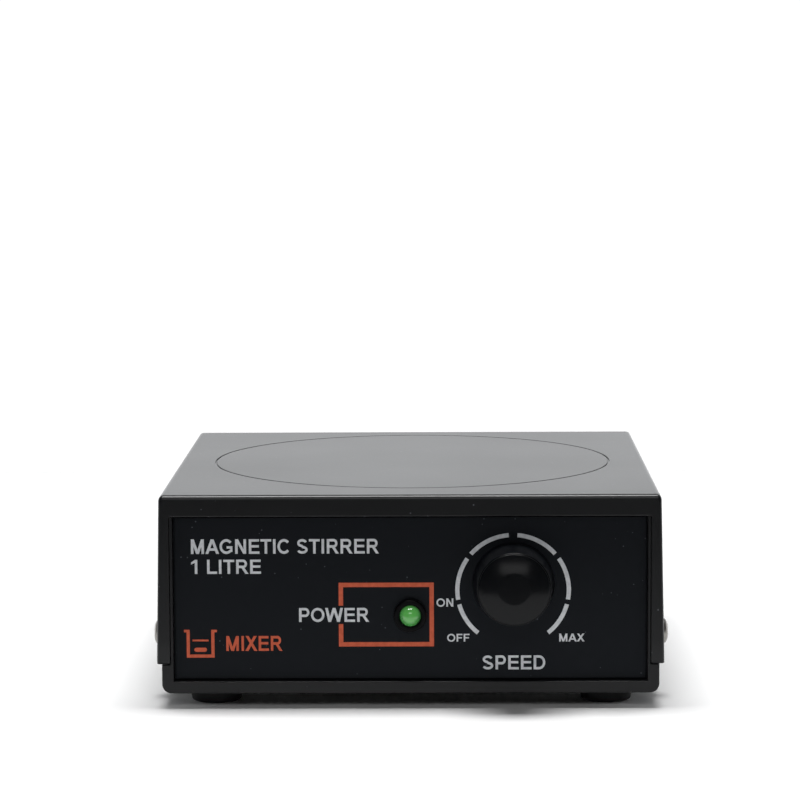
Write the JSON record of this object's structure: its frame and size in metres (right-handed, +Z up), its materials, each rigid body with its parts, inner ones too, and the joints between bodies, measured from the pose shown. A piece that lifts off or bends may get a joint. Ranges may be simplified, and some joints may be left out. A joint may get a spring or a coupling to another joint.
{
  "type": "magnetic stirrer",
  "caption": "Compact bench magnetic stirrer: low square two-shell case with a flat top, recessed front panel, speed knob, power lamp and a motor-driven magnet under the top.",
  "frame": {"origin": "centre of the bottom of the whole object's box, on the bench under the feet", "axes": "+Z up out of the top plate, +X to the right as seen from the front, front panel and knob towards -Y"},
  "size_m": [0.1236, 0.13, 0.051],
  "materials": {
    "case_plastic": "black ABS, fine satin moulding texture",
    "panel_plastic": "black sheet plastic, fine texture, screen printed",
    "knob_plastic": "black, satin",
    "foot_rubber": "black rubber",
    "plated_screws": "zinc plated steel",
    "turned_steel": "turned steel",
    "component_can": "plated sheet steel",
    "lamp_lens": "green diffused epoxy",
    "lamp_trim": "black, semi-gloss",
    "inlet_plastic": "black moulded",
    "contact_brass": "plated brass",
    "ferrite": "dark ferrite",
    "winding_copper": "enamelled copper",
    "carrier_plastic": "natural acetal",
    "magnet_nickel": "nickel plated",
    "core_steel": "varnished laminations",
    "board_laminate": "green laminate",
    "fuse_glass": "clear glass tube",
    "terminal_plastic": "green moulded",
    "component_black": "moulded epoxy",
    "sink_aluminium": "anodised",
    "lead_insulation": "flexible insulation"
  },
  "bodies": {
    "case": {"top_cover": "case_plastic", "base_tray": "case_plastic", "front_panel": "panel_plastic", "rear_panel": "panel_plastic", "rubber_feet": "foot_rubber", "cover_screws": "plated_screws", "inlet_screws": "plated_screws", "inlet_nuts": "plated_screws", "board_screws": "plated_screws", "bracket_screws": "plated_screws", "motor_screws": "plated_screws", "transformer_screws": "plated_screws", "pot_nut": "turned_steel", "pot_washer": "turned_steel", "lamp_legs": "turned_steel", "pot_body": "component_can", "motor_can": "component_can", "motor_end_cap": "component_can", "motor_bracket": "component_can", "transformer_strap": "component_can", "lamp_led": "lamp_lens", "lamp_bezel": "lamp_trim", "inlet_body": "inlet_plastic", "inlet_pins": "contact_brass", "motor_bushes": "contact_brass", "fuse_clips": "contact_brass", "stator_magnets": "ferrite", "transformer_winding": "winding_copper", "transformer_core": "core_steel", "circuit_board": "board_laminate", "fuse": "fuse_glass", "terminal_blocks": "terminal_plastic", "rectifier": "component_black", "capacitor": "component_black", "regulator": "component_black", "heat_sink": "sink_aluminium", "mains_leads": "lead_insulation", "transformer_leads": "lead_insulation", "motor_leads": "lead_insulation", "control_leads": "lead_insulation", "lamp_leads": "lead_insulation"},
    "knob": {"knob_body": "knob_plastic", "knob_cap": "knob_plastic", "pot_shaft": "turned_steel"},
    "rotor": {"motor_shaft": "turned_steel", "armature": "winding_copper", "commutator": "winding_copper", "magnet_carrier": "carrier_plastic", "drive_magnets": "magnet_nickel", "grub_screw": "turned_steel"}
  },
  "joints": [
    {"name": "knob_turn", "type": "hinge", "parent": "case", "child": "knob", "pos_m": [0.0244, -0.06505, 0.0297], "axis": [0, 1, 0], "range_deg": [-141, 141]},
    {"name": "rotor_spin", "type": "hinge", "parent": "case", "child": "rotor", "pos_m": [0, 0.00465, 0.011], "axis": [0, 0, 1], "continuous": true}
  ]
}
